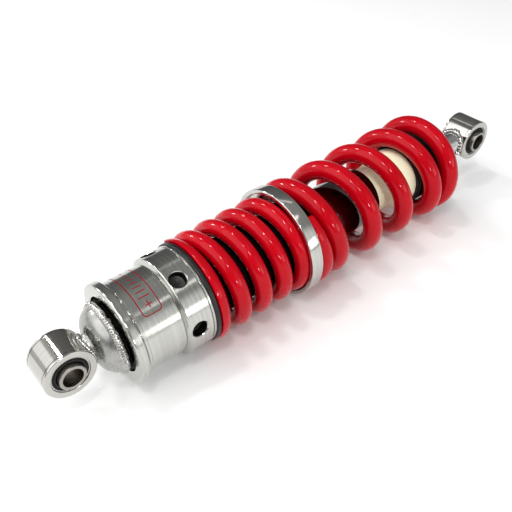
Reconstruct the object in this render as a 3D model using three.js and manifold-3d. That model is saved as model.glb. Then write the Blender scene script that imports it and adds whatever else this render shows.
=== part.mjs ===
// Coil-over shock absorber with two springs in series. Millimetres, Z up.
// X runs from the body eye (origin) to the rod eye, Y lies along both eye bolts.
import * as THREE from "three";
import { mergeVertices } from "three/addons/utils/BufferGeometryUtils.js";
import Module from "manifold-3d";

const wasm = await Module();
wasm.setup();

// ---- Driving sizes -------------------------------------------------------------------------
const EYE_TO_EYE = 300; // bolt centre to bolt centre, fully extended
const EYE_R = 13.3;
const EYE_WIDTH = 18.6;
const EYE_WALL = 3.4;
const BOLT_R = 5.1; // bore of the steel sleeve in each bush
const SLEEVE_WALL = 1.7;
const SLEEVE_LENGTH = 23.2;
const TUBE_R = 17;
const TUBE_WALL = 2;
const ROD_R = 6.25;
const LOWER_WIRE = 9.4;
const LOWER_PITCH = 13.87;
const UPPER_WIRE = 11.2;
const UPPER_PITCH = 26.44;
const FLANGE_T = 4.8; // flange of the preload collar
const SEAT_T = 2.5;
const TOMMY_HOLES = 6;
const TOMMY_R = 4.3;

// ---- Clearances ----------------------------------------------------------------------------
const GAP = 0.3; // between parts that do not move on each other
const RUNNING = 0.1; // round a part that slides or turns

// ---- Stations along X, as shares of the length ---------------------------------------------
const COLLAR_X = 0.0887 * EYE_TO_EYE;
const STEP_X = 0.179 * EYE_TO_EYE;
const THRUST_X = 0.2323 * EYE_TO_EYE;
const WEB_X = 0.442 * EYE_TO_EYE;
const TUBE_END = 0.6583 * EYE_TO_EYE;
const SEAT_X = 0.85 * EYE_TO_EYE;
const DIVIDER_X = 0.2 * EYE_TO_EYE;
const THRUST_T = 2.5;
const WEB_T = 4.4;
const LOWER_SEAT = THRUST_X + THRUST_T;
const UPPER_SEAT = WEB_X + WEB_T;
const TUBE_START = COLLAR_X - 4.6;
const DOME_END = COLLAR_X - 2.4;

// ---- Radii that follow from the driving sizes ----------------------------------------------
const BORE_R = TUBE_R - TUBE_WALL;
const THREAD_R = TUBE_R + 2.5;
const LINER_R = TUBE_R + 1.9;
const LOWER_COIL_R = LINER_R + 0.8 + LOWER_WIRE / 2;
const UPPER_COIL_R = Math.max(LOWER_COIL_R + 1.6, LINER_R + 1.5 + UPPER_WIRE / 2);
const COUPLER_R = LOWER_COIL_R + LOWER_WIRE / 2 + 3.1;
const COUPLER_BUSH_R = LINER_R + 2.3;
const COLLAR_R = THREAD_R + 4.9;
const RAISED_R = THREAD_R + 7.5;
const FLANGE_BORE = THREAD_R + 1;
const SEAT_R = UPPER_COIL_R - 1.8;
const PILOT_R = UPPER_COIL_R - UPPER_WIRE / 2 - 0.6;
const STEM_R = ROD_R - 2.25;
const BOSS_R = ROD_R + 0.75;
const NECK_R = 7.6;
const SEGMENTS = 24;

// ---- Geometry helpers ----------------------------------------------------------------------
function solidOf(geometry) {
  const bare = (geometry.index ? geometry.toNonIndexed() : geometry.clone());
  for (const name of Object.keys(bare.attributes)) {
    if (name !== "position") bare.deleteAttribute(name);
  }
  const merged = mergeVertices(bare, 1e-4);
  const build = (triVerts) =>
    new wasm.Manifold(
      new wasm.Mesh({ numProp: 3, vertProperties: merged.attributes.position.array, triVerts }),
    );
  const triVerts = new Uint32Array(merged.index.array);
  const solid = build(triVerts);
  if (solid.volume() >= 0) return solid;
  for (let i = 0; i < triVerts.length; i += 3) {
    [triVerts[i], triVerts[i + 1]] = [triVerts[i + 1], triVerts[i]];
  }
  return build(triVerts);
}

function geometryOf(solid) {
  const { vertProperties, triVerts, numProp } = solid.getMesh();
  const position = new Float32Array((vertProperties.length / numProp) * 3);
  for (let i = 0; i < position.length / 3; i++) {
    position.set(vertProperties.subarray(i * numProp, i * numProp + 3), i * 3);
  }
  const geometry = new THREE.BufferGeometry();
  geometry.setAttribute("position", new THREE.BufferAttribute(position, 3));
  geometry.setIndex(new THREE.BufferAttribute(new Uint32Array(triVerts), 1));
  const flat = geometry.toNonIndexed();
  flat.computeVertexNormals();
  return flat;
}

const subtract = (body, ...tools) =>
  geometryOf(tools.reduce((left, tool) => left.subtract(solidOf(tool)), solidOf(body)));

// A turned piece about X. The profile is a list of [x, r] that starts and ends on the axis, or
// that is closed on itself here.
function turned(profile, segments = SEGMENTS) {
  const points = profile.map(([x, r]) => new THREE.Vector2(r, x));
  const onAxis = profile[0][1] === 0 && profile.at(-1)[1] === 0;
  if (!onAxis) points.push(points[0].clone());
  const lathe = new THREE.LatheGeometry(points, segments).rotateZ(-Math.PI / 2);
  return geometryOf(solidOf(lathe));
}

const ring = (x0, x1, inner, outer) => turned([[x0, inner], [x1, inner], [x1, outer], [x0, outer]]);

const disc = (x0, x1, r) => turned([[x0, 0], [x0, r], [x1, r], [x1, 0]]);

// Turns a piece made about X so that it lies about Y, round the bolt centre at x.
const acrossAt = (geometry, x) => geometry.clone().rotateZ(Math.PI / 2).translate(x, 0, 0);

const eyeRound = (x, r, length) => acrossAt(disc(-length / 2, length / 2, r), x);

function hexNut(x0, x1, acrossFlats, bore) {
  const body = new THREE.CylinderGeometry(acrossFlats / Math.sqrt(3), acrossFlats / Math.sqrt(3),
    x1 - x0, 6).rotateZ(-Math.PI / 2).translate((x0 + x1) / 2, 0, 0);
  return subtract(body, disc(x0 - 1, x1 + 1, bore));
}

// ---- Springs -------------------------------------------------------------------------------
// Each end law lists [turns from the tip, wire diameters from the seat]. Between the two end
// turns the coil rises at its pitch, so a longer spring has more coils.
const LOWER_LAW = {
  near: [[0, 0.07], [0.27, 0.24], [0.43, 0.24], [1, 1.12]],
  far: [[0, 0.13], [0.36, 0.32], [0.42, 0.32], [1, 1.18]],
};
const UPPER_LAW = {
  near: [[0, 0.05], [0.2, 0.67], [0.83, 0.85], [1, 1.15], [1.28, 1.95]],
  far: [[0, 0.35], [0.2, 0.49], [0.5, 0.49], [1, 1.43]],
};

function springCurve(x0, x1, wire, pitch, coilR, startDeg, law) {
  const free = (x1 - x0 - (law.near.at(-1)[1] + law.far.at(-1)[1]) * wire) / pitch;
  const turns = law.near.at(-1)[0] + free + law.far.at(-1)[0];
  const keys = [
    ...law.near.map(([turn, rise]) => [turn, x0 + rise * wire]),
    ...law.far.map(([turn, rise]) => [turns - turn, x1 - rise * wire]).reverse(),
  ];
  const at = (turn) => {
    const i = Math.min(Math.max(keys.findIndex(([t]) => t >= turn), 1), keys.length - 1);
    const [[t0, a], [t1, b]] = [keys[i - 1], keys[i]];
    return a + ((b - a) * (turn - t0)) / (t1 - t0);
  };
  const curve = new THREE.Curve();
  curve.arcLengthDivisions = 1200;
  curve.turns = turns;
  curve.getPoint = (t, target = new THREE.Vector3()) => {
    const angle = THREE.MathUtils.degToRad(startDeg) + t * turns * 2 * Math.PI;
    return target.set(at(t * turns), coilR * Math.cos(angle), coilR * Math.sin(angle));
  };
  return curve;
}

function spring(x0, x1, wire, pitch, coilR, startDeg, law) {
  const curve = springCurve(x0, x1, wire, pitch, coilR, startDeg, law);
  const section = new THREE.Shape();
  section.absarc(0, 0, wire / 2, 0, 2 * Math.PI);
  const coil = new THREE.ExtrudeGeometry(section, {
    steps: Math.round(curve.turns * 18),
    curveSegments: 4,
    bevelEnabled: false,
    extrudePath: curve,
  });
  const slab = disc(x0 + GAP, x1 - GAP, coilR + wire + 5); // the ground ends
  return geometryOf(solidOf(coil).intersect(solidOf(slab)));
}

// ---- Eyes and bushes -----------------------------------------------------------------------
const eyeBore = EYE_R - EYE_WALL;
const sleeveR = BOLT_R + SLEEVE_WALL;
const shellR = eyeBore - 0.7;

const eyeAt = (x) => {
  const half = EYE_WIDTH / 2;
  const bevel = 0.6;
  return acrossAt(turned([[-half, eyeBore], [half, eyeBore], [half, EYE_R - bevel],
    [half - bevel, EYE_R], [bevel - half, EYE_R], [-half, EYE_R - bevel]]), x);
};
const shellAt = (x) => acrossAt(ring(-EYE_WIDTH / 2 + 0.6, EYE_WIDTH / 2 - 0.6, shellR,
  eyeBore - 0.05), x);
const rubberAt = (x) => {
  const half = EYE_WIDTH / 2 - 1;
  return acrossAt(turned([[-half, sleeveR + RUNNING], [half, sleeveR + RUNNING],
    [half + 0.6, sleeveR + 0.8], [half, shellR - 0.05], [-half, shellR - 0.05],
    [-half - 0.6, sleeveR + 0.8]]), x);
};
const sleeveAt = (x) => acrossAt(ring(-SLEEVE_LENGTH / 2, SLEEVE_LENGTH / 2, BOLT_R, sleeveR), x);

// ---- Damper body ---------------------------------------------------------------------------
const neckEnd = EYE_R + 1.8;
const domeSkirt = TUBE_R + 1.6;
const domeRise = (t) => {
  const lift = Math.sqrt(1 - (1 - t) ** 2);
  return [neckEnd + t * (COLLAR_X - 1.4 - neckEnd), NECK_R + 1 + lift * (domeSkirt - NECK_R - 1.2)];
};
const beadLine = [domeRise(0.62), domeRise(0.8), [DOME_END, domeSkirt - 0.3]];
const domeCap = subtract(
  turned([[0.4 * EYE_R, 0], [0.4 * EYE_R, NECK_R], [neckEnd - 0.5, NECK_R], domeRise(0.06),
    domeRise(0.2), domeRise(0.4), ...beadLine, [DOME_END, TUBE_R], [TUBE_START, TUBE_R],
    [TUBE_START, 0]]),
  eyeRound(0, EYE_R + GAP, EYE_WIDTH * 2),
);
const capWeld = turned([...beadLine, [DOME_END, TUBE_R], [COLLAR_X + 0.8, TUBE_R],
  [COLLAR_X + 0.4, TUBE_R + 0.6], [COLLAR_X - 1.2, domeSkirt + 0.2],
  [COLLAR_X - 3, domeSkirt + 0.6], [COLLAR_X - 4.4, domeSkirt + 0.1]]);
const weldRound = (x, side, reach) =>
  subtract(
    turned([[x + side * EYE_R * 0.55, reach], [x + side * (EYE_R + 1.3), reach],
      [x + side * (EYE_R + 0.7), reach + 1.5], [x + side * (EYE_R - 1), reach + 2],
      [x + side * EYE_R * 0.55, reach + 2]]),
    eyeRound(x, EYE_R + 0.05, EYE_WIDTH * 2),
  );

const lipX = TUBE_END - 4;
const damperTube = turned([[TUBE_START, BORE_R], [TUBE_START, TUBE_R], [TUBE_END - 0.5, TUBE_R],
  [TUBE_END, TUBE_R - 0.5], [TUBE_END, BORE_R], [lipX + 0.7, BORE_R], [lipX + 0.7, BORE_R + 0.7],
  [lipX - 0.7, BORE_R + 0.7], [lipX - 0.7, BORE_R]]);

function preloadCollar() {
  const far = THRUST_X;
  const flange = COLLAR_X + FLANGE_T;
  const body = turned([
    [COLLAR_X, FLANGE_BORE], [COLLAR_X, RAISED_R - 0.7], [COLLAR_X + 0.7, RAISED_R],
    [flange - 0.7, RAISED_R], [flange, RAISED_R - 0.7], [flange, COLLAR_R - 0.5],
    [flange + 1, COLLAR_R - 0.5], [flange + 1, COLLAR_R], [STEP_X, COLLAR_R],
    [STEP_X + 1.2, RAISED_R - 0.2], [STEP_X + 1.6, RAISED_R], [far - 1.9, RAISED_R],
    [far - 1.6, RAISED_R - 0.4], [far - 1.3, RAISED_R + 0.2], [far - 0.3, RAISED_R + 0.2],
    [far, RAISED_R], [far, THREAD_R + 2 * RUNNING], [COLLAR_X + 19.4, THREAD_R + 2 * RUNNING],
    [COLLAR_X + 18.4, FLANGE_BORE],
  ]);
  const x = STEP_X + 0.41 * (far - STEP_X);
  const holes = [];
  for (let i = 0; i < TOMMY_HOLES; i++) {
    const hole = turned([[RAISED_R - 5.4, 0], [RAISED_R - 5.4, TOMMY_R], [RAISED_R - 0.7, TOMMY_R],
      [RAISED_R + 0.4, TOMMY_R + 0.9], [RAISED_R + 0.4, 0]], SEGMENTS / 2);
    const aim = THREE.MathUtils.degToRad(176 - (i * 360) / TOMMY_HOLES);
    holes.push(hole.rotateZ(Math.PI / 2).rotateX(aim).translate(x, 0, 0));
  }
  return subtract(body, ...holes);
}

// ---- Coupler, seats and bump stop ----------------------------------------------------------
const couplerNear = WEB_X - 3.2;
const springCoupler = turned([[couplerNear, COUPLER_R - 2.6], [couplerNear, COUPLER_R - 0.5],
  [couplerNear + 0.5, COUPLER_R], [UPPER_SEAT - 0.5, COUPLER_R], [UPPER_SEAT, COUPLER_R - 0.5],
  [UPPER_SEAT, COUPLER_BUSH_R], [WEB_X, COUPLER_BUSH_R], [WEB_X, COUPLER_R - 2.6]]);

const cupFar = SEAT_X - 15;
const cupNear = cupFar - 9.2;
const cupR = PILOT_R - 0.1;
const bumpFar = cupNear - 1;
const bumpNear = TUBE_END + 0.4;
const bumpBore = ROD_R + 0.35;
const bumpAt = (t, r) => [bumpNear + t * (bumpFar - bumpNear), r];
const bumpStop = turned([bumpAt(0, bumpBore), bumpAt(0, cupR - 7.1), bumpAt(0.03, cupR - 5.9),
  bumpAt(0.2, cupR - 5.5), bumpAt(0.45, cupR - 4.5), bumpAt(0.63, cupR - 2.5),
  bumpAt(0.72, cupR - 1.7), bumpAt(0.96, cupR - 1.7), bumpAt(1, cupR - 2.7), bumpAt(1, bumpBore)]);
const bumpCup = turned([[cupNear, cupR - 0.8], [cupNear, cupR], [cupFar, cupR], [cupFar, bumpBore],
  [cupFar - 3.5, bumpBore], [cupFar - 3.5, cupR - 0.8]]);
const bumpPad = ring(bumpFar, cupFar - 3.5, bumpBore, cupR - 1.1);
const upperSeat = turned([[cupFar, bumpBore], [cupFar, PILOT_R - 6], [SEAT_X - 7, PILOT_R - 6],
  [SEAT_X - 5.5, PILOT_R], [SEAT_X, PILOT_R], [SEAT_X, SEAT_R - 0.5], [SEAT_X + 0.5, SEAT_R],
  [SEAT_X + SEAT_T - 0.5, SEAT_R], [SEAT_X + SEAT_T, SEAT_R - 0.5], [SEAT_X + SEAT_T, bumpBore]]);

// ---- Rod end -------------------------------------------------------------------------------
const nutX = SEAT_X + SEAT_T;
const bossX = nutX + 8;
const rodEnd = bossX + 0.45 * (EYE_TO_EYE - EYE_R - bossX);
const rodBoss = subtract(
  turned([[bossX, 0], [bossX, BOSS_R - 0.6], [bossX + 0.6, BOSS_R],
    [EYE_TO_EYE - 0.4 * EYE_R, BOSS_R], [EYE_TO_EYE - 0.4 * EYE_R, 0]]),
  disc(bossX - 1, rodEnd + GAP, ROD_R + 0.05),
  eyeRound(EYE_TO_EYE, EYE_R + GAP, EYE_WIDTH * 2),
);

// ---- Inside the tube -----------------------------------------------------------------------
const guideFar = lipX - 0.7;
const sealX = guideFar - 8;
const guideX = guideFar - 21;
const shoulderX = guideX - 12;
const pistonFar = shoulderX - 2.5;
const pistonX = pistonFar - 14;
const shimX = pistonX - 2.5;
const pistonR = BORE_R - 0.4;
const guide = turned([[guideX, ROD_R + 0.75], [guideX, BORE_R - 1], [guideX + 1, BORE_R],
  [guideFar, BORE_R], [guideFar, ROD_R + 4.25], [sealX, ROD_R + 4.25], [sealX, ROD_R + 0.75]]);
const pistonRod = turned([[shimX - 10, 0], [shimX - 10, STEM_R - 0.5], [shimX - 9.5, STEM_R],
  [shoulderX, STEM_R], [shoulderX, ROD_R], [rodEnd - 1, ROD_R], [rodEnd, ROD_R - 1], [rodEnd, 0]]);
const piston = turned([[pistonX, STEM_R + 0.05], [pistonX, pistonR - 1], [pistonX + 1, pistonR],
  [pistonX + 3.5, pistonR], [pistonX + 3.5, pistonR - 0.8], [pistonX + 10.5, pistonR - 0.8],
  [pistonX + 10.5, pistonR], [pistonFar - 1, pistonR], [pistonFar, pistonR - 1],
  [pistonFar, STEM_R + 0.05]]);
const divider = turned([[DIVIDER_X, 0], [DIVIDER_X, pistonR - 1], [DIVIDER_X + 1, pistonR],
  [DIVIDER_X + 4, pistonR], [DIVIDER_X + 4, pistonR - 2], [DIVIDER_X + 7.2, pistonR - 2],
  [DIVIDER_X + 7.2, pistonR], [DIVIDER_X + 12, pistonR], [DIVIDER_X + 12, pistonR - 3],
  [DIVIDER_X + 7.5, pistonR - 5], [DIVIDER_X + 7.5, 0]]);
const wiper = turned([[guideFar - 3.5, ROD_R + RUNNING], [guideFar - 3.5, ROD_R + 4.2],
  [guideFar, ROD_R + 4.2], [guideFar, ROD_R + 2], [TUBE_END - 0.6, ROD_R + 1],
  [TUBE_END - 0.6, ROD_R + RUNNING]]);

// ---- Scene ---------------------------------------------------------------------------------
const STEEL = [0xc4c4c4, 0.25, 1];
const CHROME = [0xd8d8da, 0.08, 1];
const ALUMINIUM = [0xc2c2be, 0.32, 1];
const BRONZE = [0xa88448, 0.4, 1];
const RED = [0xc20a12, 0.22, 0];
const BLACK = [0x141416, 0.45, 0];
const RUBBER = [0x1a1a1a, 0.8, 0];
const CREAM = [0xe4d9b0, 0.6, 0];

const shock = new THREE.Group();
shock.name = "shock";

function assembly(name, pieces) {
  const group = new THREE.Group();
  group.name = name;
  for (const [node, geometry, [color, roughness, metalness]] of pieces) {
    const material = new THREE.MeshStandardMaterial({ color, roughness, metalness });
    const mesh = new THREE.Mesh(geometry, material);
    mesh.name = node;
    group.add(mesh);
  }
  shock.add(group);
}

assembly("damper", [
  ["body_eye", eyeAt(0), STEEL],
  ["body_bush_shell", shellAt(0), STEEL],
  ["body_bush_rubber", rubberAt(0), RUBBER],
  ["body_eye_weld", weldRound(0, 1, NECK_R), STEEL],
  ["dome_cap", domeCap, ALUMINIUM],
  ["cap_weld", capWeld, ALUMINIUM],
  ["damper_tube", damperTube, CHROME],
  ["threaded_sleeve", ring(COLLAR_X + 3.4, LOWER_SEAT - GAP, TUBE_R + 0.05,
    THREAD_R), BLACK],
  ["spring_liner", ring(LOWER_SEAT + GAP, UPPER_SEAT + 13, TUBE_R + 0.05, LINER_R), BLACK],
  ["rod_guide", guide, ALUMINIUM],
  ["guide_bush", ring(guideX + 2, sealX, ROD_R + RUNNING, ROD_R + 0.7), BRONZE],
  ["oil_seal", ring(sealX, guideFar - 3.5, ROD_R + RUNNING, ROD_R + 4.2), RUBBER],
  ["dust_wiper", wiper, RUBBER],
  ["guide_circlip", ring(lipX - 0.6, lipX + 0.6, BORE_R - 1.6, BORE_R + 0.6), STEEL],
  ["tube_end_ring", ring(lipX + 0.8, TUBE_END - 0.3, ROD_R + 2.6, BORE_R - 0.05), BLACK],
]);
assembly("gas_divider", [
  ["floating_piston", divider, ALUMINIUM],
  ["floating_piston_seal", ring(DIVIDER_X + 4.1, DIVIDER_X + 7.1, pistonR - 1.9, BORE_R - 0.2),
    RUBBER],
]);
assembly("preload", [
  ["preload_collar", preloadCollar(), ALUMINIUM],
  ["thrust_ring", turned([[THRUST_X, THREAD_R + 0.5], [THRUST_X, RAISED_R + 0.7],
    [THRUST_X + 0.3, RAISED_R + 1], [LOWER_SEAT - 0.3, RAISED_R + 1], [LOWER_SEAT, RAISED_R + 0.7],
    [LOWER_SEAT, THREAD_R + 0.5]]), BLACK],
]);
assembly("springs", [
  ["lower_spring", spring(LOWER_SEAT, WEB_X, LOWER_WIRE, LOWER_PITCH, LOWER_COIL_R, 45,
    LOWER_LAW), RED],
  ["spring_coupler", springCoupler, ALUMINIUM],
  ["coupler_bush", ring(WEB_X, UPPER_SEAT, LINER_R + GAP, COUPLER_BUSH_R - 0.05), BLACK],
  ["upper_spring", spring(UPPER_SEAT, SEAT_X, UPPER_WIRE, UPPER_PITCH, UPPER_COIL_R, 126,
    UPPER_LAW), RED],
]);
assembly("rod", [
  ["piston_rod", pistonRod, CHROME],
  ["piston_nut", hexNut(shimX - 7, shimX, 2 * STEM_R + 5, STEM_R + 0.05), STEEL],
  ["compression_shims", turned([[shimX, STEM_R + 0.05], [shimX, STEM_R + 3.5],
    [shimX + 1.2, STEM_R + 3.5], [shimX + 1.2, STEM_R + 7.5], [pistonX, STEM_R + 7.5],
    [pistonX, STEM_R + 0.05]]), STEEL],
  ["piston", piston, ALUMINIUM],
  ["piston_band", ring(pistonX + 3.6, pistonX + 10.4, pistonR - 0.75, BORE_R - 0.2), BRONZE],
  ["rebound_shims", ring(pistonFar, shoulderX, STEM_R + 0.05, STEM_R + 6.5), STEEL],
  ["rebound_bumper", ring(shoulderX, guideX - 0.05, ROD_R + 0.05, ROD_R + 5), RUBBER],
  ["bump_stop", bumpStop, CREAM],
  ["bump_pad", bumpPad, RUBBER],
  ["bump_cup", bumpCup, STEEL],
  ["upper_spring_seat", upperSeat, STEEL],
  ["rod_locknut", hexNut(nutX, bossX, 22, ROD_R + 0.05), STEEL],
  ["rod_boss", rodBoss, STEEL],
  ["rod_eye_weld", weldRound(EYE_TO_EYE, -1, BOSS_R), STEEL],
  ["rod_eye", eyeAt(EYE_TO_EYE), STEEL],
  ["rod_bush_shell", shellAt(EYE_TO_EYE), STEEL],
  ["rod_bush_rubber", rubberAt(EYE_TO_EYE), RUBBER],
]);
assembly("bolt_sleeves", [
  ["body_bush_sleeve", sleeveAt(0), STEEL],
  ["rod_bush_sleeve", sleeveAt(EYE_TO_EYE), STEEL],
]);

export default shock;
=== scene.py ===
import math

import bmesh
import bpy
from mathutils import Matrix, Vector, noise


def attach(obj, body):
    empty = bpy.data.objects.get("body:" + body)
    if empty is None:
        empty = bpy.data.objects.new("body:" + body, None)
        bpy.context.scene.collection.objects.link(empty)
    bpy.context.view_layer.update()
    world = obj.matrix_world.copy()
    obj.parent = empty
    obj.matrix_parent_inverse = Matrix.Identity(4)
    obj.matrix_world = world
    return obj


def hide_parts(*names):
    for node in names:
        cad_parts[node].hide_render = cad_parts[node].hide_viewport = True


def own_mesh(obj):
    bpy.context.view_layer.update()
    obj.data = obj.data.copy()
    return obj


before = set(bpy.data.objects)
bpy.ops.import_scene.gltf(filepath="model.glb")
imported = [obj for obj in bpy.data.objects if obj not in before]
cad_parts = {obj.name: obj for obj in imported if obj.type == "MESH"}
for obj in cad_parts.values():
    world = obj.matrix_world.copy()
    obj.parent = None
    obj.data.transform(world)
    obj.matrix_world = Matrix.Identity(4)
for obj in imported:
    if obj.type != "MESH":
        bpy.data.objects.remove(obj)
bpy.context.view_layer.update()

# Every length below is in millimetres. X runs from the body eye to the rod eye, Z is up.
MM = 0.001
TAU = 2 * math.pi
ROUND = 160  # segments round a turned piece

EYE_TO_EYE = 300.0
EYE_R, EYE_BORE, EYE_HALF = 13.3, 9.9, 9.3
COLLAR_X, STEP_X, THRUST_X, LOWER_SEAT = 26.61, 53.7, 69.69, 72.19
WEB_X, UPPER_SEAT, SEAT_X = 132.6, 137.0, 255.0
TUBE_R, TUBE_START, TUBE_END = 17.0, 22.01, 197.49
THREAD_R, FLANGE_BORE, COLLAR_R, RAISED_R = 19.5, 20.5, 24.4, 27.0
LINER_R, COUPLER_R, NECK_R, BOSS_R, ROD_R = 18.9, 32.2, 7.6, 7.0, 6.25
NUT_X, BOSS_X = 257.5, 265.5


# ---- Mesh helpers --------------------------------------------------------------------------
def eased(profile, steps=4):
    """Replaces each corner given as (x, r, size) by a short arc of that size."""
    line = []
    for i, point in enumerate(profile):
        here = Vector(point[:2])
        size = point[2] if len(point) > 2 else 0
        if not size:
            line.append(here)
            continue
        before, after = Vector(profile[i - 1][:2]), Vector(profile[(i + 1) % len(profile)][:2])
        a = here + (before - here).normalized() * size
        b = here + (after - here).normalized() * size
        for k in range(steps + 1):
            t = k / steps
            line.append(a * (1 - t) ** 2 + here * 2 * t * (1 - t) + b * t * t)
    return line


def turned(profile, segments=ROUND, shape=None):
    """Vertices and faces of a piece turned about X, closed on itself unless it ends on the axis.
    shape(x, r, angle) gives the radius where it isn't r. Angles run from -Y towards +Z."""
    line = eased(profile)
    count = len(line)
    spans = count if line[0].y > 0 or line[-1].y > 0 else count - 1
    verts, faces = [], []
    for j in range(segments):
        angle = TAU * j / segments
        for p in line:
            r = shape(p.x, p.y, angle) if shape else p.y
            verts.append((p.x, -r * math.cos(angle), r * math.sin(angle)))
    for j in range(segments):
        k = (j + 1) % segments
        for i in range(spans):
            n = (i + 1) % count
            faces.append((j * count + i, j * count + n, k * count + n, k * count + i))
    return verts, faces


def across(made, x):
    """The same piece turned to lie along Y, round the bolt centre at x."""
    verts, faces = made
    return [(x - v[1], v[0], v[2]) for v in verts], faces


def mirrored(made, x):
    """The same piece seen from the other end: X is measured back from x."""
    verts, faces = made
    return [(x - v[0], v[1], v[2]) for v in verts], faces


def mesh_of(name, made, sharp=32):
    verts, faces = made
    mesh = bpy.data.meshes.new(name)
    mesh.from_pydata([[c * MM for c in v] for v in verts], [], faces)
    bm = bmesh.new()
    bm.from_mesh(mesh)
    bmesh.ops.remove_doubles(bm, verts=bm.verts, dist=1e-6)
    bmesh.ops.recalc_face_normals(bm, faces=bm.faces)
    bm.to_mesh(mesh)
    bm.free()
    mesh.shade_smooth()
    mesh.set_sharp_from_angle(angle=math.radians(sharp))
    return mesh


def piece(name, made, material, body, nodes=(), sharp=32):
    mesh = made if isinstance(made, bpy.types.Mesh) else mesh_of(name, made, sharp)
    mesh.materials.clear()
    mesh.materials.append(material)
    made_object = bpy.data.objects.new(name, mesh)
    bpy.context.scene.collection.objects.link(made_object)
    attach(made_object, body)
    if nodes:
        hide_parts(*nodes)
    return made_object


# ---- Materials -----------------------------------------------------------------------------
def grain(tree, scale, stretch, detail=3.0):
    """A noise in the object's own coordinates. scale is in features a metre."""
    coordinates = tree.nodes.new("ShaderNodeTexCoord")
    mapping = tree.nodes.new("ShaderNodeMapping")
    mapping.inputs["Scale"].default_value = stretch
    texture = tree.nodes.new("ShaderNodeTexNoise")
    texture.inputs["Scale"].default_value = scale
    texture.inputs["Detail"].default_value = detail
    tree.links.new(coordinates.outputs["Object"], mapping.inputs["Vector"])
    tree.links.new(mapping.outputs["Vector"], texture.inputs["Vector"])
    return texture.outputs["Fac"]


def finish_of(name, dark, light, roughness, metallic=0.0, colour_scale=60, rough_scale=300,
              stretch=(1, 1, 1), bumps=(), **sockets):
    """A principled finish: colour and roughness wander between two values, over layers of bump.
    Each bump is (features a metre, stretch, height in metres, strength)."""
    material = bpy.data.materials.new(name)
    material.use_nodes = True
    tree = material.node_tree
    shader = tree.nodes["Principled BSDF"]
    shader.inputs["Metallic"].default_value = metallic
    for socket, value in sockets.items():
        shader.inputs[socket.replace("_", " ")].default_value = value
    ramp = tree.nodes.new("ShaderNodeValToRGB")
    ramp.color_ramp.elements[0].position, ramp.color_ramp.elements[1].position = 0.3, 0.7
    ramp.color_ramp.elements[0].color = (*dark, 1)
    ramp.color_ramp.elements[1].color = (*light, 1)
    tree.links.new(grain(tree, colour_scale, stretch), ramp.inputs["Fac"])
    tree.links.new(ramp.outputs["Color"], shader.inputs["Base Color"])
    spread = tree.nodes.new("ShaderNodeMapRange")
    spread.inputs["From Min"].default_value, spread.inputs["From Max"].default_value = 0.3, 0.7
    spread.inputs["To Min"].default_value, spread.inputs["To Max"].default_value = roughness
    tree.links.new(grain(tree, rough_scale, stretch), spread.inputs["Value"])
    tree.links.new(spread.outputs["Result"], shader.inputs["Roughness"])
    under = None
    for scale, way, height, strength in bumps:
        bump = tree.nodes.new("ShaderNodeBump")
        bump.inputs["Distance"].default_value = height
        bump.inputs["Strength"].default_value = strength
        tree.links.new(grain(tree, scale, way), bump.inputs["Height"])
        if under:
            tree.links.new(under, bump.inputs["Normal"])
        under = bump.outputs["Normal"]
    if under:
        tree.links.new(under, shader.inputs["Normal"])
    return material


RINGS = (1, 0.012, 0.012)  # stretches a noise into the fine rings that a lathe leaves
EYE_RINGS = (0.012, 1, 0.012)
EVEN = (1, 1, 1)
RED = finish_of("red_powder_coat", (0.42, 0.0002, 0.009), (0.50, 0.0004, 0.012), (0.2, 0.3),
                colour_scale=25, rough_scale=500, bumps=[(420, EVEN, 0.00004, 0.05)],
                Specular_IOR_Level=0.05, Coat_Weight=0.8, Coat_Roughness=0.025, Coat_IOR=1.36)
MACHINED = finish_of("turned_aluminium", (0.48, 0.485, 0.455), (0.58, 0.585, 0.555), (0.14, 0.22),
                     metallic=1.0, colour_scale=900, rough_scale=1600, stretch=RINGS,
                     bumps=[(2600, RINGS, 0.00001, 0.3), (300, EVEN, 0.00002, 0.06)],
                     Anisotropic=0.35)
COUPLER = finish_of("polished_aluminium", (0.52, 0.52, 0.49), (0.62, 0.61, 0.58), (0.06, 0.14),
                    metallic=1.0, colour_scale=500, rough_scale=1200, stretch=RINGS,
                    bumps=[(1800, RINGS, 0.00001, 0.4), (120, EVEN, 0.00006, 0.15)])
EYE_STEEL = finish_of("polished_steel", (0.49, 0.48, 0.45), (0.55, 0.54, 0.51), (0.07, 0.13),
                      metallic=1.0, colour_scale=600, rough_scale=1100, stretch=EYE_RINGS,
                      bumps=[(1700, EYE_RINGS, 0.000006, 0.1), (140, EVEN, 0.00005, 0.08)])
SATIN = finish_of("satin_aluminium", (0.33, 0.33, 0.315), (0.42, 0.42, 0.405), (0.24, 0.34),
                  metallic=1.0, colour_scale=180, rough_scale=700,
                  bumps=[(1500, EVEN, 0.00006, 0.35), (220, EVEN, 0.0001, 0.25)])
WELD = finish_of("weld_metal", (0.30, 0.295, 0.28), (0.56, 0.55, 0.53), (0.1, 0.26),
                 metallic=1.0, colour_scale=500, rough_scale=800,
                 bumps=[(900, EVEN, 0.00015, 0.5)])
CHROME = finish_of("hard_chrome", (0.56, 0.56, 0.56), (0.66, 0.66, 0.66), (0.04, 0.09),
                   metallic=1.0, colour_scale=120, rough_scale=600, stretch=RINGS,
                   bumps=[(1400, RINGS, 0.000006, 0.3)])
# Painted shade: the chrome tube's colour is darkened far below chrome, standing in for the shade
# between the coils that it reflects.
SHADE_DARKENED_CHROME = finish_of("chrome_painted_shade", (0.14, 0.135, 0.14), (0.20, 0.19, 0.195), (0.05, 0.1),
                        metallic=1.0, colour_scale=120, rough_scale=600, stretch=RINGS,
                        bumps=[(1400, RINGS, 0.000006, 0.3)])
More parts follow.
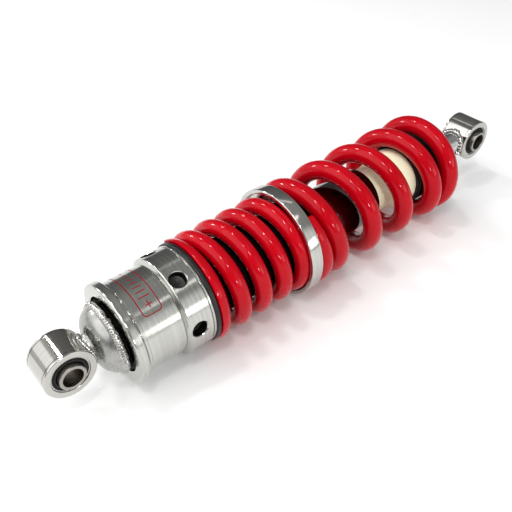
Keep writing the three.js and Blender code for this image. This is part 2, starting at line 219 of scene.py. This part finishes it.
# Painted shade: a near-black aluminium colour for the faces inside the tommy holes, standing in for
# the shade in those recesses.
HOLE_SHADE = finish_of("aluminium_painted_hole_shade", (0.05, 0.05, 0.048), (0.09, 0.09, 0.085), (0.4, 0.55),
                       metallic=1.0, colour_scale=900, rough_scale=1500,
                       bumps=[(2200, EVEN, 0.00002, 0.4)])
# Painted shade: near-black steel for the bump cup and the upper spring seat, standing in for the
# shade inside the cup and between the last upper coils.
PAINTED_SHADE_STEEL = finish_of("steel_painted_shade", (0.012, 0.012, 0.013), (0.026, 0.026, 0.028), (0.3, 0.45),
                       colour_scale=300, rough_scale=700, bumps=[(1500, EVEN, 0.00002, 0.3)])
SLEEVE_STEEL = finish_of("sleeve_steel", (0.30, 0.28, 0.25), (0.42, 0.40, 0.37), (0.24, 0.38),
                         metallic=1.0, colour_scale=900, rough_scale=1500, stretch=EYE_RINGS,
                         bumps=[(2200, EYE_RINGS, 0.00002, 0.4)])
BLACK = finish_of("black_nylon", (0.010, 0.010, 0.011), (0.022, 0.022, 0.024), (0.28, 0.42),
                  colour_scale=200, rough_scale=500, bumps=[(1400, EVEN, 0.00003, 0.25)])
GLOSS_BLACK = finish_of("black_gloss", (0.004, 0.004, 0.005), (0.010, 0.010, 0.011), (0.12, 0.22),
                        colour_scale=150, rough_scale=300, bumps=[(600, EVEN, 0.00003, 0.15)],
                        Coat_Weight=0.5, Coat_Roughness=0.06)
RUBBER = finish_of("black_rubber", (0.012, 0.012, 0.012), (0.028, 0.027, 0.026), (0.55, 0.75),
                   colour_scale=300, rough_scale=700, bumps=[(1800, EVEN, 0.00005, 0.4)])
CREAM = finish_of("cream_urethane", (0.85, 0.86, 0.62), (0.90, 0.91, 0.70), (0.36, 0.5),
                  colour_scale=70, rough_scale=400,
                  bumps=[(800, EVEN, 0.00004, 0.25), (140, EVEN, 0.0002, 0.15)],
                  Subsurface_Weight=0.15, Subsurface_Scale=0.002)
BRONZE = finish_of("bearing_bronze", (0.42, 0.27, 0.09), (0.55, 0.37, 0.15), (0.28, 0.45),
                   metallic=1.0, colour_scale=400, rough_scale=900, bumps=[(1600, EVEN, 3e-5, 0.3)])
STEEL = finish_of("plain_steel", (0.48, 0.48, 0.47), (0.60, 0.60, 0.59), (0.22, 0.36),
                  metallic=1.0, colour_scale=500, rough_scale=900, bumps=[(1500, EVEN, 2e-5, 0.3)])
RED_PRINT = finish_of("red_print", (0.24, 0.002, 0.008), (0.32, 0.004, 0.012), (0.35, 0.5),
                      colour_scale=400, rough_scale=800, bumps=[(2500, EVEN, 1e-5, 0.2)],
                      Specular_IOR_Level=0.1)


# ---- Eyes and bushes -----------------------------------------------------------------------
GROOVE = [(7.8, EYE_R), (7.74, EYE_R - 0.28), (7.42, EYE_R - 0.28), (7.36, EYE_R)]
eye_profile = [(-EYE_HALF, EYE_BORE, 0.3), (EYE_HALF, EYE_BORE, 0.3), (EYE_HALF, EYE_R, 0.75),
               *GROOVE, *[(-x, r) for x, r in reversed(GROOVE)], (-EYE_HALF, EYE_R, 0.75)]
shell_profile = [(-8.7, 9.2, 0.2), (8.7, 9.2, 0.2), (8.7, 9.85, 0.2), (-8.7, 9.85, 0.2)]
rubber_side = [(8.1, 6.95), (8.9, 7.35, 0.3), (8.7, 8.1, 0.4), (7.9, 8.5, 0.3), (8.0, 9.15)]
rubber_profile = [*rubber_side, *[(-p[0], *p[1:]) for p in reversed(rubber_side)]]
sleeve_profile = [(-11.6, 5.1, 0.35), (11.6, 5.1, 0.35), (11.6, 6.8, 0.35), (-11.6, 6.8, 0.35)]
for end, body, x in (("body", "damper", 0.0), ("rod", "rod", EYE_TO_EYE)):
    piece(end + "_eye_ring", across(turned(eye_profile), x), EYE_STEEL, body,
          [end + "_eye"])
    piece(end + "_shell_ring", across(turned(shell_profile), x), STEEL, body,
          [end + "_bush_shell"])
    piece(end + "_rubber_ring", across(turned(rubber_profile), x), RUBBER, body,
          [end + "_bush_rubber"])
    piece(end + "_bolt_sleeve", across(turned(sleeve_profile), x), SLEEVE_STEEL,
          end + "_sleeve", [end + "_bush_sleeve"])


WELD_STEPS, WELD_ROUNDS = 264, 16


def saddle_weld(reach, size, ripples, lumps):
    """A weld bead along the line where a neck of radius reach meets the eye, body end.
    Its radius is about size, with that many ripples, and lumps says how uneven it is."""
    rounds, steps = WELD_ROUNDS, WELD_STEPS
    verts, faces = [], []
    for j in range(steps):
        angle = TAU * j / steps
        out = Vector((0, -math.cos(angle), math.sin(angle)))
        on_neck = out * (reach + 0.15)
        on_eye = math.sqrt(EYE_R**2 - on_neck.z**2)
        centre = Vector((on_eye + 0.1, on_neck.y, on_neck.z))
        ripple = abs(math.sin(ripples * angle / 2))
        lump = noise.noise(Vector((7 * math.cos(angle), 7 * math.sin(angle), reach)))
        radius = size * (0.86 + 0.16 * ripple + lumps * lump)
        for i in range(rounds):
            turn = TAU * i / rounds
            p = centre + radius * (math.cos(turn) * out + math.sin(turn) * Vector((1, 0, 0)))
            verts.append(tuple(p))
    for j in range(steps):
        k = (j + 1) % steps
        for i in range(rounds):
            n = (i + 1) % rounds
            faces.append((j * rounds + i, j * rounds + n, k * rounds + n, k * rounds + i))
    return verts, faces


piece("body_eye_bead", saddle_weld(NECK_R, 1.05, 26, 0.2), WELD, "damper", ["body_eye_weld"],
      sharp=60)
piece("rod_eye_bead", mirrored(saddle_weld(BOSS_R, 2.1, 6, 0.6), EYE_TO_EYE), WELD, "rod",
      ["rod_eye_weld"], sharp=60)


# ---- End cap and its weld ------------------------------------------------------------------
DOME_START, DOME_END, DOME_RISE = 15.1, COLLAR_X - 2.4, 9.8
DOME_RUN = COLLAR_X - 1.4 - DOME_START
BEAD_START, DOME_STEPS = 0.8, 18


def dome_at(t):
    """A point of the dome's quarter of an ellipse, from its neck at 0 to its widest at 1."""
    lift = math.sqrt(max(0.0, 1 - (1 - t) ** 2))
    return (DOME_START + t * DOME_RUN, NECK_R + 1 + lift * DOME_RISE)


dome = [(10.5, 0), (10.5, NECK_R), (12.6, NECK_R), (13.7, NECK_R + 0.15), (14.5, NECK_R + 0.6),
        (15.0, NECK_R + 1.3)]
dome += [dome_at(BEAD_START * (k / DOME_STEPS) ** 1.7) for k in range(1, DOME_STEPS + 1)]
dome += [(DOME_END, 18.3), (DOME_END, TUBE_R + 0.05), (TUBE_START, TUBE_R + 0.05), (TUBE_START, 0)]
piece("end_dome", turned(dome), SATIN, "damper", ["dome_cap"], sharp=50)


BEAD = [(21.2, 17.35), (21.7, 18.2), (22.4, 18.72), (23.1, 18.95), (23.9, 18.95), (24.7, 18.75),
        (25.4, 18.4), (26.1, 17.9), (26.7, 17.4), (27.2, 16.95)]
BEAD_FOOT = [(26.9, 16.5), (21.4, 16.5)]
BEAD_RIPPLES, BEAD_WAVE, BEAD_LUMP = 84, 0.45, 0.35


def cap_bead():
    """The wide rippled weld round the dome, closed underneath."""
    steps = BEAD_RIPPLES * 8
    verts, faces = [], []
    for j in range(steps):
        angle = TAU * j / steps
        ring = []
        for i, (x, base) in enumerate(BEAD):
            s = i / (len(BEAD) - 1)
            crown = math.sin(math.pi * s) ** 0.7 if 0 < s < 1 else 0
            bow = 0.5 * (2 * s - 1) ** 2
            wave = abs(math.sin(BEAD_RIPPLES * angle / 2 + math.pi * bow))
            lump = noise.noise(Vector((12 * math.cos(angle), 12 * math.sin(angle), x * 0.6)))
            ring.append((x, base + crown * (BEAD_WAVE * wave + BEAD_LUMP * lump)))
        ring += BEAD_FOOT
        verts += [(x, -r * math.cos(angle), r * math.sin(angle)) for x, r in ring]
    count = len(BEAD) + len(BEAD_FOOT)
    for j in range(steps):
        k = (j + 1) % steps
        for i in range(count):
            n = (i + 1) % count
            faces.append((j * count + i, j * count + n, k * count + n, k * count + i))
    return verts, faces


piece("end_dome_bead", cap_bead(), WELD, "damper", ["cap_weld"], sharp=70)

# ---- Tube, sleeves and what closes the tube ------------------------------------------------
piece("chrome_tube", turned([(TUBE_START + 0.2, 15, 0.2), (TUBE_START + 0.2, TUBE_R, 0.4),
      (TUBE_END, TUBE_R, 0.6), (TUBE_END, 15, 0.4), (194.2, 15), (194.2, 15.7), (192.8, 15.7),
      (192.8, 15)]), SHADE_DARKENED_CHROME, "damper", ["damper_tube"])
piece("end_ring", turned([(194.3, 8.9, 0.3), (197.2, 8.9, 0.5), (197.2, 14.9, 0.4),
      (194.3, 14.9, 0.3)]), BLACK, "damper", ["tube_end_ring"])
ridges = []
for k in range(27):
    x = 30.6 + 1.5 * k
    ridges += [(x, 18.7), (x + 0.6, THREAD_R), (x + 0.9, THREAD_R)]
piece("preload_thread", turned([(30.1, TUBE_R + 0.05), (30.1, 18.7), *ridges, (71.8, 18.7),
      (71.8, TUBE_R + 0.05)]), BLACK, "damper", ["threaded_sleeve"])
piece("inner_liner", turned([(72.5, TUBE_R + 0.05), (72.5, LINER_R, 0.6), (150, LINER_R, 0.8),
      (150, TUBE_R + 0.05, 0.2)]), GLOSS_BLACK, "damper", ["spring_liner"])


# ---- Preload collar ------------------------------------------------------------------------
def drilled(mesh, cutter):
    """The mesh with the cutter's holes, and its turned faces still shaded as round."""
    body = bpy.data.objects.new("drilled_body", mesh)
    tool = bpy.data.objects.new("drilled_tool", cutter)
    for o in (body, tool):
        bpy.context.scene.collection.objects.link(o)
    cut = body.modifiers.new("holes", "BOOLEAN")
    cut.operation, cut.solver, cut.object = "DIFFERENCE", "EXACT", tool
    bpy.context.view_layer.update()
    made = bpy.data.meshes.new_from_object(
        body.evaluated_get(bpy.context.evaluated_depsgraph_get()))
    for o in (body, tool):
        bpy.data.objects.remove(o)
    made.shade_smooth()
    made.set_sharp_from_angle(angle=math.radians(32))
    normals = [(0, 0, 0)] * len(made.loops)
    for face in made.polygons:
        turns = [Vector((0, made.vertices[v].co.y, made.vertices[v].co.z)) for v in face.vertices]
        if all(abs(t.length - RAISED_R * MM) < 2e-5 for t in turns) and abs(face.normal.x) < 0.1:
            for loop, t in zip(face.loop_indices, turns):
                normals[loop] = tuple(t.normalized())
    made.normals_split_custom_set(normals)
    return made


HOLE_X = 60.26
flange = COLLAR_X + 4.8
holed = [(STEP_X + 1.6 + 0.9 * k, RAISED_R) for k in range(14)]
collar_profile = [
    (COLLAR_X, FLANGE_BORE, 0.5), (COLLAR_X, RAISED_R, 1.1), (flange, RAISED_R, 0.9),
    (flange, COLLAR_R - 0.5, 0.2), (flange + 1, COLLAR_R - 0.5, 0.2), (flange + 1.1, COLLAR_R, 0.15),
    (flange + 2.3, COLLAR_R), (flange + 2.4, COLLAR_R - 0.1), (flange + 2.6, COLLAR_R - 0.1),
    (flange + 2.7, COLLAR_R), (STEP_X - 0.6, COLLAR_R), (STEP_X - 0.45, COLLAR_R - 0.25),
    (STEP_X - 0.1, COLLAR_R - 0.25), (STEP_X + 1.1, RAISED_R - 0.3, 0.2), *holed,
    (67.8, RAISED_R, 0.1), (67.95, RAISED_R - 0.45), (68.2, RAISED_R - 0.45),
    (68.35, RAISED_R + 0.2, 0.12), (THRUST_X, RAISED_R + 0.2, 0.35),
    (THRUST_X, THREAD_R + 0.2, 0.3), (46.0, THREAD_R + 0.2), (45.0, FLANGE_BORE)]
HOLE_FLOOR, HOLE_MOUTH, HOLE_R, HOLE_TURN = 20.2, RAISED_R - 0.7, 4.3, 4
hole = [(HOLE_FLOOR, 0), (HOLE_FLOOR + 1.4, HOLE_R), (HOLE_MOUTH, HOLE_R),
        (RAISED_R + 0.4, HOLE_R + 0.9), (28.5, HOLE_R + 0.9), (28.5, 0)]
hole_verts, hole_faces = [], []
for k in range(6):
    round_x = Matrix.Rotation(math.radians(-(HOLE_TURN + 60 * k)), 3, "X")
    aim = round_x @ Matrix.Rotation(-math.pi / 2, 3, "Z")
    verts, faces = turned(hole, 48)
    hole_faces += [tuple(i + len(hole_verts) for i in f) for f in faces]
    hole_verts += [tuple(aim @ Vector(v) + Vector((HOLE_X, 0, 0))) for v in verts]
collar_mesh = drilled(mesh_of("collar", turned(collar_profile, 240)),
                      mesh_of("holes", (hole_verts, hole_faces)))
piece("turned_collar", collar_mesh, MACHINED, "collar", ["preload_collar"])
collar_mesh.materials.append(HOLE_SHADE)
# The faces inside the tommy holes get the painted hole shade.
for face in collar_mesh.polygons:
    x, r = face.center.x / MM, math.hypot(face.center.y, face.center.z) / MM
    in_hole = abs(x - HOLE_X) < HOLE_R + 0.1 and HOLE_FLOOR < r < HOLE_MOUTH - 0.1
    face.material_index = int(in_hole)


def printed(strokes, radius, width):
    """Thin raised strokes on a cylinder about X. A stroke is a list of (x, arc length) points."""
    verts, faces = [], []
    for stroke in strokes:
        closed = stroke[0] == stroke[-1]
        points = [Vector(p) for p in (stroke[:-1] if closed else stroke)]
        count, start = len(points), len(verts)
        for i, p in enumerate(points):
            before = points[i - 1] if closed or i else p
            after = points[(i + 1) % count] if closed or i < count - 1 else p
            way = (after - before).normalized()
            side = Vector((-way.y, way.x)) * width / 2
            for q, r in ((p - side, radius - 0.06), (p + side, radius - 0.06),
                         (p + side, radius + 0.04), (p - side, radius + 0.04)):
                verts.append((q.x, -r * math.cos(q.y / radius), r * math.sin(q.y / radius)))
        for i in range(count if closed else count - 1):
            a, b = start + 4 * i, start + 4 * ((i + 1) % count)
            faces += [(a + k, a + (k + 1) % 4, b + (k + 1) % 4, b + k) for k in range(4)]
        if not closed:
            last = start + 4 * (count - 1)
            faces += [tuple(start + k for k in range(4)), tuple(last + k for k in (3, 2, 1, 0))]
    return verts, faces


def line(a, b):
    steps = max(1, round((Vector(b) - Vector(a)).length))
    return [tuple(Vector(a).lerp(Vector(b), k / steps)) for k in range(steps + 1)]


def frame_line(x0, x1, v0, v1, corner):
    """A closed rectangle with round corners."""
    points = []
    for cx, cv, turn in ((x1 - corner, v0 + corner, -90), (x1 - corner, v1 - corner, 0),
                         (x0 + corner, v1 - corner, 90), (x0 + corner, v0 + corner, 180)):
        arc = [(cx + corner * math.cos(math.radians(turn + 15 * k)),
                cv + corner * math.sin(math.radians(turn + 15 * k))) for k in range(7)]
        if points:
            points += line(points[-1], arc[0])[1:-1]
        points += arc
    points += line(points[-1], points[0])[1:-1]
    return points + [points[0]]


degree = math.radians(1) * COLLAR_R
LABEL_X, LABEL_HALF, LABEL_FROM, LABEL_TO = 42.45, 4.95, 46.5, 134
MARK_X, PLUS_AT, MINUS_AT, SIGN_HALF, PRINT_WIDTH = 42.5, 58, 122, 1.9, 0.46
label = [frame_line(LABEL_X - LABEL_HALF, LABEL_X + LABEL_HALF, LABEL_FROM * degree,
                    LABEL_TO * degree, 1.9)]
label.append(line((MARK_X - SIGN_HALF, PLUS_AT * degree), (MARK_X + SIGN_HALF, PLUS_AT * degree)))
for at in (PLUS_AT * degree, MINUS_AT * degree):
    label.append(line((MARK_X, at - SIGN_HALF), (MARK_X, at + SIGN_HALF)))
for k in range(7):
    at = (68 + 7.4 * k) * degree
    half = 2.9 - 0.38 * k
    label.append(line((MARK_X - half, at), (MARK_X + half, at)))
piece("collar_print", printed(label, COLLAR_R, PRINT_WIDTH), RED_PRINT, "collar", ())
piece("spring_thrust_ring", turned([(THRUST_X, 20, 0.3), (THRUST_X, 28, 0.6), (LOWER_SEAT, 28, 0.7),
      (LOWER_SEAT, 20, 0.3)]), BLACK, "preload_seat", ["thrust_ring"])

# ---- Springs -------------------------------------------------------------------------------
LOWER_NEAR = [(0, 0.07), (0.27, 0.24), (0.43, 0.24), (1, 1.12)]
LOWER_FAR = [(0, 0.13), (0.36, 0.32), (0.42, 0.32), (1, 1.18)]
UPPER_NEAR = [(0, 0.05), (0.2, 0.67), (0.83, 0.85), (1, 1.15), (1.28, 1.95)]
UPPER_FAR = [(0, 0.35), (0.2, 0.49), (0.5, 0.49), (1, 1.43)]


def coil(x0, x1, wire, pitch, radius, start, near, far, steps=84, rounds=28):
    """A round wire wound right-handed, with its end turns closed and ground flat."""
    free = (x1 - x0 - (near[-1][1] + far[-1][1]) * wire) / pitch
    turns = near[-1][0] + free + far[-1][0]
    keys = [(t, x0 + rise * wire) for t, rise in near]
    keys += [(turns - t, x1 - rise * wire) for t, rise in reversed(far)]

    def at(turn):
        i = next((i for i, key in enumerate(keys) if key[0] >= turn), len(keys) - 1)
        (t0, a), (t1, b) = keys[max(i, 1) - 1], keys[max(i, 1)]
        return a + (b - a) * (turn - t0) / (t1 - t0)

    def eased_at(turn):
        return sum(at(turn + 0.02 * k) for k in range(-4, 5)) / 9

    def centre(turn):
        angle = math.radians(start) + turn * TAU
        return Vector((eased_at(turn), radius * math.cos(angle), radius * math.sin(angle)))

    around = TAU * radius
    tip = [(0.0, 0.62), (0.35, 0.82), (0.8, 0.93), (1.5, 0.985)]
    stations = [(d / around, s) for d, s in tip]
    count = round(turns * steps)
    first, last = 2.2 / around, turns - 2.2 / around
    stations += [(first + (last - first) * k / count, 1.0) for k in range(count + 1)]
    stations += [(turns - d / around, s) for d, s in reversed(tip)]
    verts, faces = [], []
    for turn, share in stations:
        c = centre(turn)
        along = (centre(turn + 1e-4) - centre(turn - 1e-4)).normalized()
        angle = math.radians(start) + turn * TAU
        out = Vector((0, math.cos(angle), math.sin(angle)))
        side = along.cross(out).normalized()
        for i in range(rounds):
            a = TAU * i / rounds
            p = c + wire / 2 * share * (math.cos(a) * out + math.sin(a) * side)
            verts.append((min(max(p.x, x0 + 0.3), x1 - 0.3), p.y, p.z))
    for j in range(len(stations) - 1):
        for i in range(rounds):
            n = (i + 1) % rounds
            faces.append((j * rounds + i, j * rounds + n, (j + 1) * rounds + n,
                          (j + 1) * rounds + i))
    last = (len(stations) - 1) * rounds
    faces += [tuple(range(rounds)), tuple(range(last + rounds - 1, last - 1, -1))]
    return verts, faces


# Each spring's wire, pitch, radius to the wire's centre, and the angle where it starts.
LOWER = (9.4, 13.87, 24.4, 45)
UPPER = (11.2, 26.44, 26.0, 126)
lower = piece("lower_coil", coil(LOWER_SEAT, WEB_X, *LOWER, LOWER_NEAR, LOWER_FAR),
              RED, "preload_seat", ["lower_spring"], sharp=40)
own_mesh(lower)
upper = piece("upper_coil", coil(UPPER_SEAT, SEAT_X, *UPPER, UPPER_NEAR, UPPER_FAR),
              RED, "rod", ["upper_spring"], sharp=40)
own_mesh(upper)
piece("coupler_ring", turned([(129.4, 29.6, 0.35), (129.4, COUPLER_R, 0.75),
      (UPPER_SEAT, COUPLER_R, 0.75), (UPPER_SEAT, 21.2, 0.3), (WEB_X, 21.2, 0.3),
      (WEB_X, 29.6, 0.8)], 240), COUPLER, "coupler", ["spring_coupler"])

# ---- Bump stop, seat and rod end -----------------------------------------------------------
BUMP_NEAR, BUMP_FAR = 197.9, 229.8
bump = [(0, 6.6), (0, 12.6, 0.8), (0.05, 13.9), (0.12, 14.0), (0.2, 14.2), (0.3, 14.5),
        (0.45, 15.2), (0.55, 16.2), (0.62, 17.1), (0.68, 17.7), (0.74, 18.0), (0.9, 18.0),
        (0.965, 17.9), (1, 17.0), (1, 6.6)]
bump = [(BUMP_NEAR + p[0] * (BUMP_FAR - BUMP_NEAR), *p[1:]) for p in bump]
stop = piece("bump_rubber", turned(bump), CREAM, "rod", ["bump_stop"], sharp=60)
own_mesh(stop)
piece("bump_backing", turned([(BUMP_FAR, 6.6), (BUMP_FAR, 18.6, 0.5), (236.4, 18.6, 0.3),
      (236.4, 6.6)]), RUBBER, "rod", ["bump_pad"])
# The cup and the seat carry painted shade as a near-black colour.
piece("bump_housing", turned([(230.8, 18.9, 0.25), (230.8, 19.7, 0.25), (240, 19.7, 1.2),
      (240, 6.6), (236.5, 6.6), (236.5, 18.9, 0.4)]), PAINTED_SHADE_STEEL, "rod", ["bump_cup"])
piece("rod_spring_seat", turned([(240, 6.6), (240, 13.8, 0.4), (248, 13.8, 0.8),
      (249.5, 19.8, 0.6), (SEAT_X, 19.8, 0.3), (SEAT_X, 24.2, 0.6), (NUT_X, 24.2, 0.6),
      (NUT_X, 6.6, 0.3)]), PAINTED_SHADE_STEEL, "rod", ["upper_spring_seat"])


def hexagon(x, r, angle):
    """A hexagon 22 mm across flats with its corners chamfered at both faces."""
    if r < 9:
        return r
    flat = 11 / math.cos((angle + TAU / 12) % (TAU / 6) - TAU / 12)
    return min(flat, 11.3 + min(x - NUT_X, BOSS_X - x) * 1.7)


nut_face = [(NUT_X + x, 11.0) for x in (0, 0.2, 0.4, 0.6, 0.8, 1.0, 7.0, 7.2, 7.4, 7.6, 7.8, 8.0)]
piece("rod_hex_nut", turned([(NUT_X, ROD_R + 0.05, 0.3), *nut_face, (BOSS_X, ROD_R + 0.05, 0.3)],
      180, hexagon), STEEL, "rod", ["rod_locknut"], sharp=20)
piece("rod_neck", turned([(BOSS_X, ROD_R + 0.05), (BOSS_X, BOSS_R, 0.7), (289.4, BOSS_R),
      (289.4, 0), (275.4, 0), (275.4, ROD_R + 0.05)]), CHROME, "rod", ["rod_boss"])
piece("chrome_rod", turned([(133.1, 0), (133.1, 4.0, 0.5), (147.7, 4.0), (147.7, ROD_R, 0.3),
      (275.0, ROD_R, 1.0), (275.0, 0)], 96), CHROME, "rod", ["piston_rod"])

# ---- Hidden CAD pieces keep their shape and get a finish ----------------------------------
HIDDEN = {"rod_guide": SATIN, "guide_bush": BRONZE, "oil_seal": RUBBER, "dust_wiper": RUBBER,
          "guide_circlip": STEEL, "floating_piston": SATIN, "floating_piston_seal": RUBBER,
          "coupler_bush": BLACK, "piston_nut": STEEL, "compression_shims": STEEL,
          "piston": SATIN, "piston_band": BRONZE, "rebound_shims": STEEL,
          "rebound_bumper": RUBBER}
for node, material in HIDDEN.items():
    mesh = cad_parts[node].data
    mesh.materials.clear()
    mesh.materials.append(material)

# ---- Floor ---------------------------------------------------------------------------------
FLOOR_Z = -COUPLER_R - 0.1
bm = bmesh.new()
bmesh.ops.create_grid(bm, x_segments=24, y_segments=24, size=3.0)
floor_mesh = bpy.data.meshes.new("floor")
bm.to_mesh(floor_mesh)
bm.free()
floor_mesh.transform(Matrix.Translation((0.15, 0, FLOOR_Z * MM)))
floor_mesh.materials.append(finish_of("pale_floor", (0.93, 0.93, 0.93), (0.95, 0.95, 0.95),
                                      (0.85, 0.95), colour_scale=3, rough_scale=8,
                                      Specular_IOR_Level=0.1))
floor = bpy.data.objects.new("floor", floor_mesh)
bpy.context.scene.collection.objects.link(floor)

# ---- Light ---------------------------------------------------------------------------------
AIM = Vector((0.13, 0, 0))


def facing(azimuth, elevation):
    a, e = math.radians(azimuth), math.radians(elevation)
    return Vector((math.cos(a) * math.cos(e), math.sin(a) * math.cos(e), math.sin(e)))


def softbox(name, azimuth, elevation, distance, width, height, watts, tint=(1, 1, 1)):
    """A rectangular light that faces the part. Azimuth runs from +X towards +Y."""
    light = bpy.data.lights.new(name, "AREA")
    light.shape, light.size, light.size_y = "RECTANGLE", width, height
    light.energy, light.color = watts, tint
    o = bpy.data.objects.new(name, light)
    way = facing(azimuth, elevation)
    o.location = AIM + way * distance
    o.rotation_mode = "QUATERNION"
    o.rotation_quaternion = way.to_track_quat("Z", "Y")
    bpy.context.scene.collection.objects.link(o)


softbox("window", -66, 10, 0.85, 0.42, 0.2, 0.5, (1.0, 0.99, 0.97))
softbox("overhead", -50, 58, 1.0, 0.4, 0.08, 0.12)
softbox("back_left", 128, 26, 1.1, 0.6, 0.5, 0.5, (0.98, 0.99, 1.0))
softbox("rear_strip", 40, 56, 1.0, 0.5, 0.06, 0.06)
softbox("left_fill", 180, 50, 1.3, 1.6, 1.6, 9.0)
SMALL_BOXES = [(-100, 15), (-105, 50), (-130, 66), (120, 75), (100, 50), (110, 25)]
for k, (azimuth, elevation) in enumerate(SMALL_BOXES):
    softbox("small_box_%d" % k, azimuth, elevation, 1.1, 0.11, 0.11, 1.2)

world = bpy.data.worlds.new("studio")
bpy.context.scene.world = world
world.use_nodes = True
tree = world.node_tree
background = tree.nodes["Background"]
direction = tree.nodes.new("ShaderNodeTexCoord").outputs["Generated"]
WORLD_BASE = 0.17
# Each glow is (azimuth, elevation, where it starts and is full as cosines, brightness).
GLOWS = [(90, 90, -1.0, 1.0, 0.16), (-66, 8, 0.8, 0.95, 0.5), (140, 14, 0.5, 0.85, 0.4),
         (55, 18, 0.6, 0.95, -0.13), (109, 55, 0.93, 0.97, -0.12)]
total = None
for azimuth, elevation, low, high, brightness in GLOWS:
    dot = tree.nodes.new("ShaderNodeVectorMath")
    dot.operation = "DOT_PRODUCT"
    dot.inputs[1].default_value = facing(azimuth, elevation)
    tree.links.new(direction, dot.inputs[0])
    glow = tree.nodes.new("ShaderNodeMapRange")
    glow.interpolation_type = "SMOOTHSTEP"
    for socket, value in zip(("From Min", "From Max", "To Min", "To Max"),
                             (low, high, 0, brightness)):
        glow.inputs[socket].default_value = value
    tree.links.new(dot.outputs["Value"], glow.inputs["Value"])
    add = tree.nodes.new("ShaderNodeMath")
    add.operation = "ADD"
    tree.links.new(glow.outputs["Result"], add.inputs[0])
    if total:
        tree.links.new(total, add.inputs[1])
    else:
        add.inputs[1].default_value = WORLD_BASE
    total = add.outputs["Value"]
tree.links.new(total, background.inputs["Strength"])
background.inputs["Color"].default_value = (1, 1, 1, 1)

# ---- Camera --------------------------------------------------------------------------------
CAMERA_ANGLES = (-37.939, 41.198, -2.217)  # azimuth, elevation and roll in degrees
CAMERA_PLACE = (-0.046791, -0.207523, 0.232547)
camera = bpy.data.cameras.new("camera")
camera.sensor_width, camera.lens = 36, 45.178
camera.shift_x, camera.shift_y = 0.00516, -0.00868
camera.clip_start, camera.clip_end = 0.01, 20
view = bpy.data.objects.new("camera", camera)
bpy.context.scene.collection.objects.link(view)
azimuth, elevation, roll = (math.radians(a) for a in CAMERA_ANGLES)
back = Vector((math.sin(azimuth) * math.cos(elevation), -math.cos(azimuth) * math.cos(elevation),
               math.sin(elevation)))
right = Vector((math.cos(azimuth), math.sin(azimuth), 0))
up = back.cross(right)
rolled = math.cos(roll) * right + math.sin(roll) * up
turn = Matrix((rolled, back.cross(rolled), back)).transposed()
view.matrix_world = Matrix.Translation(CAMERA_PLACE) @ turn.to_4x4()
bpy.context.scene.camera = view
bpy.context.scene.view_settings.view_transform = "Standard"
bpy.context.scene.view_settings.look = "Medium High Contrast"
